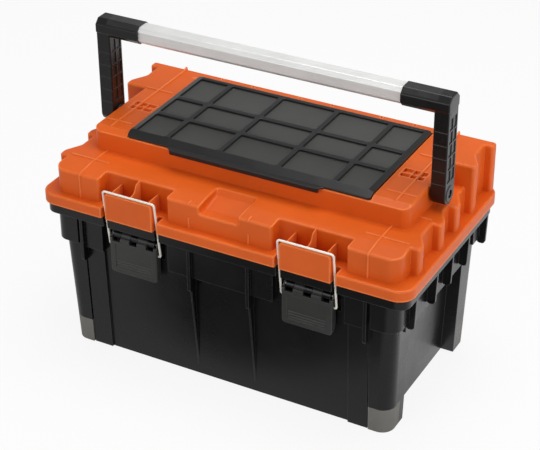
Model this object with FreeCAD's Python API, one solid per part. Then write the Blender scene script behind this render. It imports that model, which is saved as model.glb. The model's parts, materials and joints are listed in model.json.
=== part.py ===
import FreeCAD, Part
import math
import os
from FreeCAD import Vector as V

# A moulded toolbox with a lift-out tray: tub, hinged lid with a covered top compartment,
# a folding carry handle, and two draw latches. Millimetres, +Z up, front towards -Y.
# The origin is the middle of the footprint, on the ground.

# ---- driving dimensions: overall ----
LENGTH = 533.0            # lid flange, end to end (X)
DEPTH = 292.0             # lid flange, front to back (Y)
TUB_HEIGHT = 219.4        # ground to the top of the tub's rim
LEDGE_RISE = 52.6         # from the rim up to the low front part of the lid
DECK_RISE = 31.0          # from there up to the high part of the lid
HANDLE_RISE = 128.0       # from there up to the top of the upright handle

# ---- clearances ----
REST_GAP = 0.3            # between bodies that lie on each other
SIDE_GAP = 0.5            # between a moving piece and what it passes
PIN_GAP = 0.05            # radial, pin in a turning knuckle
FIT_GAP = 0.1             # radial, fixed pin or bolt in its own hole

# ---- walls ----
WALL = 3.0
FLOOR = 3.5
DRAFT = 0.035             # outward lean of the tub's walls, per mm of height

# ---- ribs: stations shared by the tub's fins and the lid's pilasters ----
SIDE_STATIONS = (-102.0, -38.0, 11.0, 64.0, 127.0)
HIGH_STATIONS = (64.0, 127.0)      # where the lid's side is as high as the deck
CENTRE_RIB_X = 43.0
CENTRE_RIB_BACK = 9.0      # its length over the ledge
END_RIB_INSET = 59.5               # outer rib, in from the flange's end

# ---- tub ----
RIM_INSET = 4.5           # rim lip, in from the lid flange
RIM_LIP = 14.4            # height of the rim lip
SKIRT_DROP = 45.0         # height of the front skirt blocks under the lip
CORNER_SKIRT_DROP = 40.5  # height of the corner skirt under the lip
SIDE_SKIRT_DROP = 71.4    # rim's top to the foot of the side skirt
SKIRT_INSET_X = 20.5      # side skirt, in from the flange's end
SKIRT_INSET_Y = 11.0      # front and rear skirt, in from the flange's front
CORNER_SKIRT_INSET = 8.0  # corner skirt's front
SKIRT_SLOT = 4.5          # slot between the end fin and the corner skirt
COLUMN_WIDTH = 52.0       # corner column along X, from the flange's end less its inset
COLUMN_INSET_X = 28.0     # column's outer face at the ground, in from the flange's end
COLUMN_INSET_Y = 21.0
COLUMN_DEPTH = 42.0       # column along Y
COLUMN_OVERLAP = 5.5      # column's inner part, joined to the end wall
COLUMN_RADIUS = 18.0
PANEL_INSET_X = 46.0      # recessed side wall at the ground, in from the flange's end
PANEL_INSET_Y = 25.5      # front wall at the ground
RAISED_PANEL = (3.0, 2.6)          # panel beside each column: proud of the wall, past the latch
PANEL_GROOVE = 1.5        # groove between that panel and the column
SIDE_FIN = (3.5, 13.0, 50.5, 2.0)  # thickness, reach, height, lean of the outer edge
FRONT_FIN = (4.5, 65.4)            # fin on the front and rear: thickness, height
FIN_FOOT = 5.0            # rounding of a fin's foot
FRONT_FIN_INSET = 6.0     # front fin's edge, in from the flange's front
LONG_RIB = (2.5, 5.0, 13.0)        # thickness, behind the fin's edge at its top, foot above ground

# ---- corner guards ----
GUARD_HEIGHT = 36.2
GUARD_WALL = 3.0
GUARD_SIDE = 30.0         # length along the box's side
GUARD_FIT = 0.05          # between a guard and the column's core
GUARD_SEAM = 0.2          # round a guard's edges

# ---- latches ----
LATCH_X = 127.2           # middle of each latch
CATCH_WIDTH = 70.8        # plate on the lid that the bail hooks over
CATCH_THICK = 4.0
CATCH_HEIGHT = 38.8       # from the flange's underside
CATCH_RETURN = 11.0
CATCH_ROUND = (5.0, 1.6)  # plate's top corners, and its front edges
CATCH_WEB = (1.6, 27.6, 13.5)      # thickness, pitch, side webs' top under the ledge
MIDDLE_WEB = (17.0, 23.0, 8.0)     # foot and top of its steep part, from the front; its bends
NOTCH_WIDTH = 84.4        # flange notch for the bail's legs
NOTCH_DEPTH = 18.0
LATCH_ZONE = (76.0, 178.0)         # set-back part of the lid's front wall
LATCH_ZONE_DEPTH = 32.0            # from the flange's front
BAY_WIDTH = 83.0
BAY_WALL_Y = 24.5                  # back of the latch bay, from the flange's front
LEVER_WIDTH = 71.0
LEVER_LENGTH = 54.5       # below its pivot
LEVER_THICK = 3.5
LEVER_FACE_Y = 7.0                 # lever's front face, from the flange's front
LEVER_PIVOT_Y = 15.0
LEVER_PIVOT_DROP = 27.4   # below the rim's top
KNUCKLE_RADIUS = 5.0
KNUCKLE_WIDTH = 11.0
KNUCKLE_PITCH = 25.5
PIN_RADIUS = 2.0
WIRE_RADIUS = 1.5
BAIL_WIDTH = 77.2                  # between the legs' centre lines
BAIL_FOOT = (13.0, 15.0)           # foot's axis: from the flange's front, below the pivot
BAIL_BEND = 4.0
FOOT_BOSS = 3.4           # boss round each of the bail's feet, radius
BAY_ROOM = 4.0            # from that boss down to the bay's floor

# ---- lid ----
FLANGE_HEIGHT = 15.0
FLANGE_RADIUS = 22.0
CORNER_RADIUS = 16.0      # lid's front corners, in plan
LEDGE_ROUND = 3.4         # top edges of the low part
DECK_ROUND = 3.4          # top edges of the high part
DECK_CORNER = 12.0        # deck's front corners, in plan
WAVE = (12.0, 34.0)       # side pilaster: end of its flat, and its end, behind its station
WAVE_ROUND = (1.5, 4.0, 10.0)      # its plan radii: foot, nose, gentle bends
LEDGE_SLOPE = (27.0, 3.0) # front of the ledge: length, fall
CORE_INSET_X = 18.5       # lid's side wall, in from the flange's end
CORE_INSET_Y = 12.0       # lid's front wall
REAR_INSET_Y = 6.0        # lid's rear wall
PILASTER_INSET = 6.5      # outer faces of the side pilasters
LEDGE_DEPTH = 79.0        # flange's front to the deck's front wall
DECK_INSET_X = 37.5       # deck's side wall beside the handle's arms
BEVEL = (10.0, 5.0)       # deck's front bevel: back, down
RIB = (2.2, 1.2)          # raised ribs on the lid: width, height
CROSS_RIB_START = 9.0     # ribs across the deck, out from the cover
CROSS_RIB_BACK = 6.0      # ribs across the ledge, behind their station
POCKET_HALF = 28.5        # finger pocket in the ledge
POCKET_DEPTH = 14.0
POCKET_LENGTH = 50.0
POCKET_FLAT = 16.0        # level part of its floor, from the front wall
POCKET_STEP = (7.0, 7.5)  # steep last part: length, height
POCKET_ROUND = (2.5, 4.0) # its rim, and its inner bottom edges
POCKET_SWEEP = 20.0       # where its floor turns up
WAFFLE_COLUMNS = ((7.5, 12.5), (21.7, 7.9), (32.6, 7.0))   # out from the cover, width
WAFFLE_ROWS = ((-9.0, 8.3), (1.0, 11.0))                   # behind the rib station, length
WAFFLE_SINK = 4.0
WAFFLE_WALL = 1.6
STRIP_HOLES = (24.5, 97.5, 146.0)  # drain holes behind the cover
STRIP_HOLE_RADIUS = 1.5
HINGE_Y_INSET = 6.5       # lid hinge axis, in from the flange's rear
HINGE_Z_DROP = 5.4        # and below the rim
HINGE_X = 150.0
HINGE_LID_WIDTH = 40.0
HINGE_TUB_WIDTH = 18.0

# ---- top compartment and its cover ----
COVER_HALF_X = 176.0
COVER_REAR_INSET = 21.6   # cover's hinge side, in from the flange's rear
COVER_THICK = 8.7
COVER_BARREL = 4.0        # radius of the barrel along the cover's hinge edge
COVER_AXIS_SINK = 2.2     # hinge axis, below the deck
COVER_PROUD = 5.0         # above the deck
COVER_SETBACK = 1.0       # cover's front edge, behind the deck's front wall
COVER_OVERRUN = 1.8       # cover's rear edge, behind the hinge axis
COVER_SLOPE = (11.3, 6.4) # cover's front slope: back, down
SIDE_SLOPE = (8.0, 1.6)   # cover's side slope: in, down
COVER_CORNER = 4.0        # cover's corners, in plan
TAB_HALF = 113.0
TAB_DROP = 13.2
TAB_PROUD = 7.0           # past the deck's front wall
TAB_THICK = 2.4
COVER_PIN_RADIUS = 1.25
COVER_PIN_LENGTH = 24.0   # inside the cover
PIN_SEAT = 10.0           # inside the lid
COVER_COLUMNS = (42.9, 71.8, 77.9, 71.8, 42.9)
COVER_ROWS = (51.6, 43.4, 59.1)
COVER_WEB = 7.4           # raised web between two panels
COVER_REAR_BAND = 8.0     # from the last row of panels to the cover's rear edge
PANEL_SINK = 3.7          # panels, below the webs
PANEL_CORNER = 2.5
WEB_ROUND = 0.8           # rounding of the webs' edges
PANEL_FLOOR = 2.6         # thickness left under a panel
UNDER_INSET = 2.0         # hollow under a panel, in from the panel's edge
WELL_MARGIN = 9.0         # cover's edge to the compartment's wall
WELL_DEPTH = 39.0
DIVIDERS = 4
DIVIDER_THICK = 2.0

# ---- carry handle ----
PIVOT_Y = 3.0
PIVOT_DROP = 9.0          # below the deck
ARM_GAP = 3.0             # deck's wall to the arm
ARM_WIDTH = 20.0
ARM_FRONT = 14.5          # arm's half depth, and its rounded foot
GRIP_LENGTH = 65.0
GRIP_HEIGHT = 26.0
GRIP_OVER = 1.5           # grip's section, proud of the arm
GRIP_CHAMFER = 7.5
GRIP_ROUND = 2.5
TUBE_HEIGHT = 23.0
TUBE_DEPTH = 26.0
TUBE_WALL = 1.8
TUBE_INSERT = 48.0        # tube's length inside each grip
BOLT_RADIUS = 3.0
BOLT_HEAD = (5.0, 4.0)    # radius, height
BOSS_RADIUS = 11.0
WASHER_RADIUS = 9.0
NUT_FLATS = 9.0
NUT_HEIGHT = 4.5
ARM_CELL_ROWS = 5
ARM_CELL_SINK = 1.1
TUBE_CHAMFER = 5.0
SCREW_RADIUS = 1.5
SCREW_HEAD = (3.0, 1.1)   # radius, height
SCREW_INSET = 14.0        # from the tube's end

# ---- tray ----
TRAY_HEIGHT = 61.0
TRAY_GAP = 4.0            # to the tub's inner walls
TRAY_WALL = 2.2
TRAY_RIM = 6.0
TRAY_HANDLE_WIDTH = 150.0
TRAY_HANDLE_RISE = 30.0
TRAY_DIVIDER_X = 120.0

# ---- worked-out positions ----
HX = LENGTH / 2
HY = DEPTH / 2
LEDGE_HEIGHT = TUB_HEIGHT + LEDGE_RISE
DECK_HEIGHT = LEDGE_HEIGHT + DECK_RISE
HANDLE_HEIGHT = DECK_HEIGHT + HANDLE_RISE
PIVOT_Z = DECK_HEIGHT - PIVOT_DROP
SIDE_SKIRT_BOTTOM = TUB_HEIGHT - SIDE_SKIRT_DROP
LEVER_PIVOT_Z = TUB_HEIGHT - LEVER_PIVOT_DROP
LEVER_BOTTOM = LEVER_PIVOT_Z - LEVER_LENGTH
FLANGE_BOTTOM = TUB_HEIGHT + REST_GAP
FLANGE_TOP = FLANGE_BOTTOM + FLANGE_HEIGHT
CATCH_TOP = FLANGE_BOTTOM + CATCH_HEIGHT
LIP_BOTTOM = TUB_HEIGHT - RIM_LIP
SKIRT_BOTTOM = LIP_BOTTOM - SKIRT_DROP
CORNER_SKIRT_BOTTOM = LIP_BOTTOM - CORNER_SKIRT_DROP
END_RIB_X = HX - END_RIB_INSET
CORNER_SKIRT_X = END_RIB_X + FRONT_FIN[0] / 2 + SKIRT_SLOT
CORE_X = HX - CORE_INSET_X
CORE_FRONT = -HY + CORE_INSET_Y
CORE_REAR = HY - REAR_INSET_Y
DECK_FRONT = -HY + LEDGE_DEPTH
DECK_X = HX - DECK_INSET_X
PILASTER_X = HX - PILASTER_INSET
LEVER_Y = -HY + LEVER_FACE_Y
PIVOT_LATCH_Y = -HY + LEVER_PIVOT_Y
BAY_Y = -HY + BAY_WALL_Y
FOOT_Y = -HY + BAIL_FOOT[0]
FOOT_Z = LEVER_PIVOT_Z - BAIL_FOOT[1]
BAY_BOTTOM = FOOT_Z - FOOT_BOSS - BAY_ROOM
BAR_Y = -HY + CATCH_THICK / 2 + 0.5
BAR_Z = CATCH_TOP + WIRE_RADIUS + REST_GAP
HINGE_Y = HY - HINGE_Y_INSET
HINGE_Z = TUB_HEIGHT - HINGE_Z_DROP
COVER_TOP = DECK_HEIGHT + COVER_PROUD
COVER_BOTTOM = COVER_TOP - COVER_THICK
COVER_AXIS_Y = HY - COVER_REAR_INSET - COVER_BARREL
COVER_AXIS_Z = DECK_HEIGHT - COVER_AXIS_SINK
COVER_FRONT = DECK_FRONT + COVER_SETBACK
COVER_REAR = COVER_AXIS_Y + COVER_OVERRUN
TROUGH_BOTTOM = COVER_AXIS_Z - COVER_BARREL - SIDE_GAP
TROUGH_REAR = COVER_AXIS_Y + COVER_BARREL + SIDE_GAP
WELL_X = COVER_HALF_X - WELL_MARGIN
WELL_FRONT = DECK_FRONT + WELL_MARGIN
WELL_REAR = COVER_AXIS_Y - WELL_MARGIN
WELL_BOTTOM = DECK_HEIGHT - WELL_DEPTH
ARM_IN = DECK_X + ARM_GAP
ARM_OUT = ARM_IN + ARM_WIDTH
INNER_Y = HY - 28.0       # tub's inner front and rear walls at the tray
SIDE_LEDGE = SIDE_SKIRT_BOTTOM + WALL
X_AXIS = V(1, 0, 0)


# ---- helpers ----
def box(x0, x1, y0, y1, z0, z1):
    return Part.makeBox(x1 - x0, y1 - y0, z1 - z0, V(x0, y0, z0))


def face(points):
    return Part.Face(Part.makePolygon(points + points[:1]))


def prism_x(outline, x0, x1):
    return face([V(x0, y, z) for y, z in outline]).extrude(V(x1 - x0, 0, 0))


def prism_y(outline, y0, y1):
    return face([V(x, y0, z) for x, z in outline]).extrude(V(0, y1 - y0, 0))


def soft_face(corners, at):
    """Flat face through (a, b, radius) corners, each rounded by an arc; at(a, b) is a point."""
    points = [at(a, b) for a, b, _ in corners]
    stops = []
    for i, point in enumerate(points):
        radius = corners[i][2]
        before = (points[i - 1] - point).normalize()
        after = (points[(i + 1) % len(points)] - point).normalize()
        half = before.getAngle(after) / 2
        reach = radius / math.tan(half)
        bulge = (before + after).normalize() * (radius / math.sin(half) - radius)
        stops.append((point + before * reach, point + bulge, point + after * reach))
    edges = []
    for (start, mid, end), (following, _, _) in zip(stops, stops[1:] + stops[:1]):
        if start.distanceToPoint(end) > 0.001:
            edges.append(Part.Arc(start, mid, end).toShape())
        if end.distanceToPoint(following) > 0.001:
            edges.append(Part.LineSegment(end, following).toShape())
    return Part.Face(Part.Wire(edges))


def soft_prism(corners, z0, z1):
    """Upright prism through (x, y, radius) corners."""
    return soft_face(corners, lambda x, y: V(x, y, z0)).extrude(V(0, 0, z1 - z0))


def soft_bar(corners, x0, x1):
    """Bar along X through (y, z, radius) corners."""
    return soft_face(corners, lambda y, z: V(x0, y, z)).extrude(V(x1 - x0, 0, 0))


def symmetric(half):
    """A right-hand half outline of (x, y, radius) corners, and its mirror image."""
    return half + [(-x, y, radius) for x, y, radius in reversed(half)]


def rod_x(x0, x1, y, z, radius):
    return Part.makeCylinder(radius, x1 - x0, V(x0, y, z), X_AXIS)


def frustum(low, high, z0, z1):
    """Tapered box between (x0, x1, y0, y1) at z0 and at z1."""
    def ring(r, z):
        corners = [V(r[0], r[2], z), V(r[1], r[2], z), V(r[1], r[3], z), V(r[0], r[3], z)]
        return Part.makePolygon(corners + corners[:1])
    return Part.makeLoft([ring(low, z0), ring(high, z1)], True, True)


def fused(shapes):
    return shapes[0].multiFuse(shapes[1:]).removeSplitter()


def mirrored(shape):
    return shape.mirror(V(0, 0, 0), X_AXIS)


def both(shapes):
    return shapes + [mirrored(s) for s in shapes]


def upright(edge):
    a, b = edge.Vertexes[0].Point, edge.Vertexes[-1].Point
    return abs(a.z - b.z) > 0.9 * edge.Length


def near(value, target):
    return abs(value - target) < 0.01


def rounded(shape, radius, pick):
    return shape.makeFillet(radius, [e for e in shape.Edges if pick(e)])


def round_upright(shape, radius, where=None):
    def pick(e):
        return upright(e) and (where is None or where(e.CenterOfMass))
    return rounded(shape, radius, pick)


def round_level(shape, radius, z):
    return rounded(shape, radius, lambda e: all(near(v.Point.z, z) for v in e.Vertexes))


def slab(hx, y0, y1, z0, z1, radius):
    return round_upright(box(-hx, hx, y0, y1, z0, z1), radius)


# ---- tub ----
def leaned(at_ground, z):
    """A wall's distance from the middle, at height z."""
    return at_ground + DRAFT * z


def leaning_block(x0, x1, y0, y1, z0, z1, lean_x=True, lean_y=True):
    """Block in the +X, +Y quarter whose outer faces x1 and y1 lean outwards."""
    def ring(z):
        far_x = leaned(x1, z) if lean_x else x1
        far_y = leaned(y1, z) if lean_y else y1
        return (x0, far_x, y0, far_y)
    return frustum(ring(z0), ring(z1), z0, z1)


def quarters(shape, front=True, rear=True):
    """The shape in the +X, +Y quarter, repeated in the others."""
    right = [shape] if rear else []
    if front:
        right.append(shape.mirror(V(0, 0, 0), V(0, 1, 0)))
    return both(right)


def column(shrink=0.0, z0=0.0, z1=LIP_BOTTOM):
    """Corner column in the +X, +Y quarter, its outer faces set in by shrink."""
    x1 = HX - COLUMN_INSET_X - shrink
    y1 = HY - COLUMN_INSET_Y - shrink
    x0 = HX - COLUMN_WIDTH - COLUMN_OVERLAP + shrink
    y0 = y1 - COLUMN_DEPTH + 2 * shrink
    block = leaning_block(x0, x1, y0, y1, z0, z1)
    return round_upright(block, COLUMN_RADIUS - shrink, lambda c: c.x > x1 - 1 and c.y > y1 - 1)


def side_fin(y):
    """Fin under the rim on the side wall, its outer edge leaning in to a rounded foot."""
    thick, reach, height, lean = SIDE_FIN
    x0 = HX - SKIRT_INSET_X
    bottom = LIP_BOTTOM - height
    outline = [(x0 - 1, LIP_BOTTOM + 1, 0), (x0 + reach, LIP_BOTTOM + 1, 0),
               (x0 + reach - lean, bottom, FIN_FOOT), (x0 - 1, bottom, FIN_FOOT)]
    return soft_face(outline, lambda x, z: V(x, y, z)).extrude(V(0, thick, 0))


def front_fin(x):
    """Fin under the rim on the rear wall, with a rounded foot."""
    thick, height = FRONT_FIN
    y_out = HY - FRONT_FIN_INSET
    y_in = HY - SKIRT_INSET_Y - 14
    bottom = LIP_BOTTOM - height
    outline = [(y_in, LIP_BOTTOM + 1, 0), (y_out, LIP_BOTTOM + 1, 0), (y_out, bottom, FIN_FOOT),
               (y_in, bottom, 0)]
    return soft_bar(outline, x - thick / 2, x + thick / 2)


def long_rib(x):
    """Tapering rib down the rear wall, below the fin."""
    thick, behind, foot = LONG_RIB
    top = LIP_BOTTOM - FRONT_FIN[1] + 1
    wall = HY - PANEL_INSET_Y
    outline = [(wall - 3, top), (HY - FRONT_FIN_INSET - behind, top), (leaned(wall, foot), foot),
               (wall - 3, foot)]
    return prism_x(outline, x - thick / 2, x + thick / 2)


def tub_outside():
    wall_y = HY - PANEL_INSET_Y
    skirt_y = HY - SKIRT_INSET_Y
    column_x = HX - COLUMN_WIDTH - COLUMN_OVERLAP
    proud, start = RAISED_PANEL
    side_y = -SIDE_STATIONS[0]
    main = leaning_block(-1, HX - PANEL_INSET_X, -1, wall_y, 0, LIP_BOTTOM + 1)
    raised = leaning_block(LATCH_ZONE[1] + start - 1, column_x - PANEL_GROOVE, 0,
                           wall_y + proud, 0, SKIRT_BOTTOM + 1, lean_x=False)
    block = box(-1, END_RIB_X, 0, skirt_y, SKIRT_BOTTOM, LIP_BOTTOM + 1)
    corner = round_upright(box(CORNER_SKIRT_X, HX - SKIRT_INSET_X + 4, 0, HY - CORNER_SKIRT_INSET,
                               CORNER_SKIRT_BOTTOM, LIP_BOTTOM + 1), COLUMN_RADIUS,
                           lambda c: c.x > CORNER_SKIRT_X + 1 and c.y > 1)
    corner = corner.cut(box(0, HX, -1, side_y, 0, TUB_HEIGHT))
    side = box(0, HX - SKIRT_INSET_X, 0, side_y, SIDE_SKIRT_BOTTOM, LIP_BOTTOM + 1)
    pieces = []
    for shape in (main, column(), raised, block, corner, side):
        pieces += quarters(shape)
    for x in (CENTRE_RIB_X, END_RIB_X):
        pieces += quarters(front_fin(x))
    pieces += quarters(long_rib(CENTRE_RIB_X))
    for y in SIDE_STATIONS:
        pieces += both([side_fin(y)])
    lip = slab(HX - RIM_INSET, -HY + RIM_INSET - 0.5, HY - RIM_INSET - 1.0,
               LIP_BOTTOM, TUB_HEIGHT, FLANGE_RADIUS - RIM_INSET)
    return fused(pieces + [lip])


def tub_bin():
    """A quarter of the tub's main space, below the tray."""
    return leaning_block(-1, HX - PANEL_INSET_X - WALL, -1, HY - PANEL_INSET_Y - WALL, FLOOR,
                         SIDE_LEDGE + 1)


def tub_inside():
    """What is cut out of the tub: the bin, the columns and the skirt blocks."""
    high = box(-1, HX - SKIRT_INSET_X - WALL, -1, INNER_Y, SIDE_LEDGE, TUB_HEIGHT + 1)
    hollow = column(WALL, FLOOR, SIDE_LEDGE + 1)
    centre = box(-1, LATCH_ZONE[0] - WALL - 1, 0, HY - SKIRT_INSET_Y - WALL,
                 SKIRT_BOTTOM + WALL, TUB_HEIGHT + 1)
    outer = box(LATCH_ZONE[1] + WALL, END_RIB_X - WALL, 0, HY - SKIRT_INSET_Y - WALL,
                SKIRT_BOTTOM + WALL, TUB_HEIGHT + 1)
    corner = box(CORNER_SKIRT_X + WALL, HX - SKIRT_INSET_X - WALL, 0, HY - SKIRT_INSET_Y - WALL - 1,
                 CORNER_SKIRT_BOTTOM + WALL, TUB_HEIGHT + 1)
    pieces = []
    for shape in (tub_bin(), high, hollow, centre, outer, corner):
        pieces += quarters(shape)
    return fused(pieces)


def latch_bay(side):
    """Room for one lever and its bail, cut from the tub's front."""
    x = side * LATCH_X
    half = BAY_WIDTH / 2
    bay = box(x - half, x + half, -HY - 1, BAY_Y, BAY_BOTTOM, LIP_BOTTOM)
    wide = box(*sorted((side * (LATCH_ZONE[0] + 1), side * (LATCH_ZONE[1] - 1))), -HY - 1,
               -HY + 20, SKIRT_BOTTOM - 1, LIP_BOTTOM)
    slots = [box(*sorted((x + s * CATCH_WIDTH / 2, x + s * NOTCH_WIDTH / 2)), -HY - 1,
                 -HY + NOTCH_DEPTH, LIP_BOTTOM - 1, TUB_HEIGHT + 1) for s in (-1, 1)]
    return [bay, wide] + slots


def latch_knuckles(side):
    """Three lugs that hold one latch's pin."""
    lugs = []
    for k in (-1, 0, 1):
        mid = side * LATCH_X + k * KNUCKLE_PITCH
        x0, x1 = mid - KNUCKLE_WIDTH / 2, mid + KNUCKLE_WIDTH / 2
        lug = rod_x(x0, x1, PIVOT_LATCH_Y, LEVER_PIVOT_Z, KNUCKLE_RADIUS)
        web = box(x0, x1, PIVOT_LATCH_Y, BAY_Y + 1, LEVER_PIVOT_Z - KNUCKLE_RADIUS,
                  LEVER_PIVOT_Z + KNUCKLE_RADIUS)
        lugs += [lug, web]
    return lugs


def hinge_half():
    """Half the length of one hinge, and of its rod."""
    return HINGE_LID_WIDTH / 2 + SIDE_GAP + HINGE_TUB_WIDTH


def hinge_spans(side):
    """Middle and half width of each hinge knuckle: the lid's, then the tub's two."""
    x = side * HINGE_X
    reach = HINGE_LID_WIDTH / 2 + SIDE_GAP + HINGE_TUB_WIDTH / 2
    return [(x, HINGE_LID_WIDTH / 2), (x - reach, HINGE_TUB_WIDTH / 2), (x + reach, HINGE_TUB_WIDTH / 2)]


def make_tub():
    solid = tub_outside().cut(tub_inside())
    cuts, adds = [], []
    for side in (-1, 1):
        cuts += latch_bay(side)
        adds += latch_knuckles(side)
        (mid, half), *outer = hinge_spans(side)
        room = KNUCKLE_RADIUS + 3.6
        cuts.append(box(mid - half - SIDE_GAP, mid + half + SIDE_GAP, HINGE_Y - room, HY,
                        HINGE_Z - room, TUB_HEIGHT + 1))
        for x, w in outer:
            adds.append(rod_x(x - w, x + w, HINGE_Y, HINGE_Z, KNUCKLE_RADIUS))
            adds.append(box(x - w, x + w, HINGE_Y - 12, HINGE_Y, HINGE_Z - KNUCKLE_RADIUS,
                            HINGE_Z + KNUCKLE_RADIUS))
    solid = solid.cut(cuts).multiFuse(adds)
    bores = []
    for side in (-1, 1):
        x = side * LATCH_X
        bores.append(rod_x(x - 45, x + 45, PIVOT_LATCH_Y, LEVER_PIVOT_Z, PIN_RADIUS + FIT_GAP))
        x, half = side * HINGE_X, hinge_half()
        bores.append(rod_x(x - half, x + half, HINGE_Y, HINGE_Z, PIN_RADIUS + FIT_GAP))
    core_inset = GUARD_WALL + GUARD_FIT
    cores = quarters(column(core_inset, core_inset, GUARD_HEIGHT + 1))
    hollows = quarters(column(WALL + GUARD_WALL, FLOOR + GUARD_WALL, GUARD_HEIGHT + 2))
    solid = solid.cut(bores + quarters(guard_zone(column(0.0, -1, GUARD_HEIGHT), 0.0)))
    space = quarters(tub_bin())
    cores = [c.cut([h] + space) for c, h in zip(cores, hollows)]
    return solid.multiFuse(cores)


def guard_zone(block, gap):
    """The part of a corner column's foot that its guard covers, less a gap at its side end."""
    walls = leaning_block(-1, HX - PANEL_INSET_X, -1, HY - PANEL_INSET_Y, -1, GUARD_HEIGHT + 1)
    side_end = HY - COLUMN_INSET_Y - GUARD_SIDE
    return block.cut([walls, box(0, HX, -1, side_end + gap, -1, GUARD_HEIGHT + 1)])


def make_guards():
    """One shell round the foot of each corner column."""
    outer = guard_zone(column(0.0, 0.0, GUARD_HEIGHT - GUARD_SEAM), GUARD_SEAM)
    shell = outer.cut(column(GUARD_WALL, GUARD_WALL, GUARD_HEIGHT))
    names = ("rear_right", "front_right", "rear_left", "front_left")
    return {f"corner_guard_{n}": s for n, s in zip(names, quarters(shell))}


# ---- latches ----
def make_lever(side):
    """Latch lever: a dished face plate with side cheeks and two hinge barrels."""
    x = side * LATCH_X
    half = LEVER_WIDTH / 2
    top = LEVER_PIVOT_Z - 2
    plate = box(x - half, x + half, LEVER_Y, LEVER_Y + LEVER_THICK, LEVER_BOTTOM, top)
    plate = rounded(plate, 5.0, lambda e: near(e.CenterOfMass.z, LEVER_BOTTOM)
                    and near(e.Length, LEVER_THICK))
    plate = rounded(plate, 1.5, lambda e: near(e.CenterOfMass.y, LEVER_Y)
                    and e.CenterOfMass.z < top - 1)
    inset = box(x - half + 8, x + half - 8, LEVER_Y - 1, LEVER_Y + 0.8, LEVER_BOTTOM + 8, top - 9)
    grips = [box(x - half + 9, x + half - 9, LEVER_Y + 0.2, LEVER_Y + 1.5,
                 LEVER_BOTTOM + 10 + 4 * i, LEVER_BOTTOM + 11.5 + 4 * i) for i in range(3)]
    pieces = [plate.cut(inset)] + grips
    cheek_back = BAY_Y - 2.0
    low_back = -leaned(HY - PANEL_INSET_Y, BAY_BOTTOM) - 2.0
    for s in (-1, 1):
        x0, x1 = sorted((x + s * (half - 2.2), x + s * half))
        cheek = prism_x([(LEVER_Y + 2, LEVER_BOTTOM + 4), (low_back - 2, LEVER_BOTTOM + 6),
                         (low_back, LEVER_BOTTOM + 12), (low_back, BAY_BOTTOM + 1),
                         (cheek_back, BAY_BOTTOM + 4), (cheek_back, LEVER_PIVOT_Z - 5),
                         (PIVOT_LATCH_Y, LEVER_PIVOT_Z + 4), (LEVER_Y + 2, LEVER_PIVOT_Z - 4)],
                        x0, x1)
        foot_boss = rod_x(*sorted((x + s * (half - 7), x + s * half)), FOOT_Y, FOOT_Z, FOOT_BOSS)
        a, b = KNUCKLE_WIDTH / 2 + SIDE_GAP, KNUCKLE_PITCH - KNUCKLE_WIDTH / 2 - SIDE_GAP
        x0, x1 = sorted((x + s * a, x + s * b))
        barrel = rod_x(x0, x1, PIVOT_LATCH_Y, LEVER_PIVOT_Z, KNUCKLE_RADIUS - 0.4)
        web = box(x0, x1, LEVER_Y + 1, PIVOT_LATCH_Y + 1, LEVER_PIVOT_Z - 9, LEVER_PIVOT_Z - 1)
        pieces += [cheek, foot_boss, barrel, web]
    solid = pieces[0].multiFuse(pieces[1:])
    notches = []
    for k in (-1, 0, 1):
        mid = x + k * KNUCKLE_PITCH
        w = KNUCKLE_WIDTH / 2 + SIDE_GAP
        notches.append(box(mid - w, mid + w, LEVER_Y - 1, BAY_Y, LEVER_PIVOT_Z - KNUCKLE_RADIUS - 2,
                           LEVER_PIVOT_Z + 10))
    notches.append(rod_x(x - 50, x + 50, PIVOT_LATCH_Y, LEVER_PIVOT_Z, PIN_RADIUS + PIN_GAP))
    for s in (-1, 1):
        x0, x1 = sorted((x + s * (half - 6.5), x + s * (half + 1)))
        notches.append(rod_x(x0, x1, FOOT_Y, FOOT_Z, WIRE_RADIUS + PIN_GAP))
    return solid.cut(notches).removeSplitter()


def make_bail(side):
    """Bent wire: a bar over the catch, two legs, and feet that turn into the lever."""
    x = side * LATCH_X
    half = BAIL_WIDTH / 2
    up = V(0, BAR_Y - FOOT_Y, BAR_Z - FOOT_Z).normalize()
    foot_in = LEVER_WIDTH / 2 - 6.0
    b = BAIL_BEND
    corner = [V(x - half, FOOT_Y, FOOT_Z), V(x - half, BAR_Y, BAR_Z),
              V(x + half, BAR_Y, BAR_Z), V(x + half, FOOT_Y, FOOT_Z)]
    start, end = V(x - foot_in, FOOT_Y, FOOT_Z), V(x + foot_in, FOOT_Y, FOOT_Z)
    route = [start] + corner + [end]
    edges, last = [], start
    bends = [2.0, b, b, 2.0]
    for i, r in enumerate(bends, start=1):
        before = (route[i - 1] - route[i]).normalize()
        after = (route[i + 1] - route[i]).normalize()
        a, c = route[i] + before * r, route[i] + after * r
        mid = route[i] + (before + after) * r * (1 - math.sqrt(0.5))
        edges += [Part.LineSegment(last, a).toShape(), Part.Arc(a, mid, c).toShape()]
        last = c
    edges.append(Part.LineSegment(last, end).toShape())
    section = Part.Wire(Part.makeCircle(WIRE_RADIUS, start, X_AXIS))
    return Part.Wire(edges).makePipeShell([section], True, False)


def make_latch_pin(side):
    x = side * LATCH_X
    half = LEVER_WIDTH / 2
    return rod_x(x - half, x + half, PIVOT_LATCH_Y, LEVER_PIVOT_Z, PIN_RADIUS)


def make_hinge_rod(side):
    x, half = side * HINGE_X, hinge_half()
    return rod_x(x - half, x + half, HINGE_Y, HINGE_Z, PIN_RADIUS)


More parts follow.
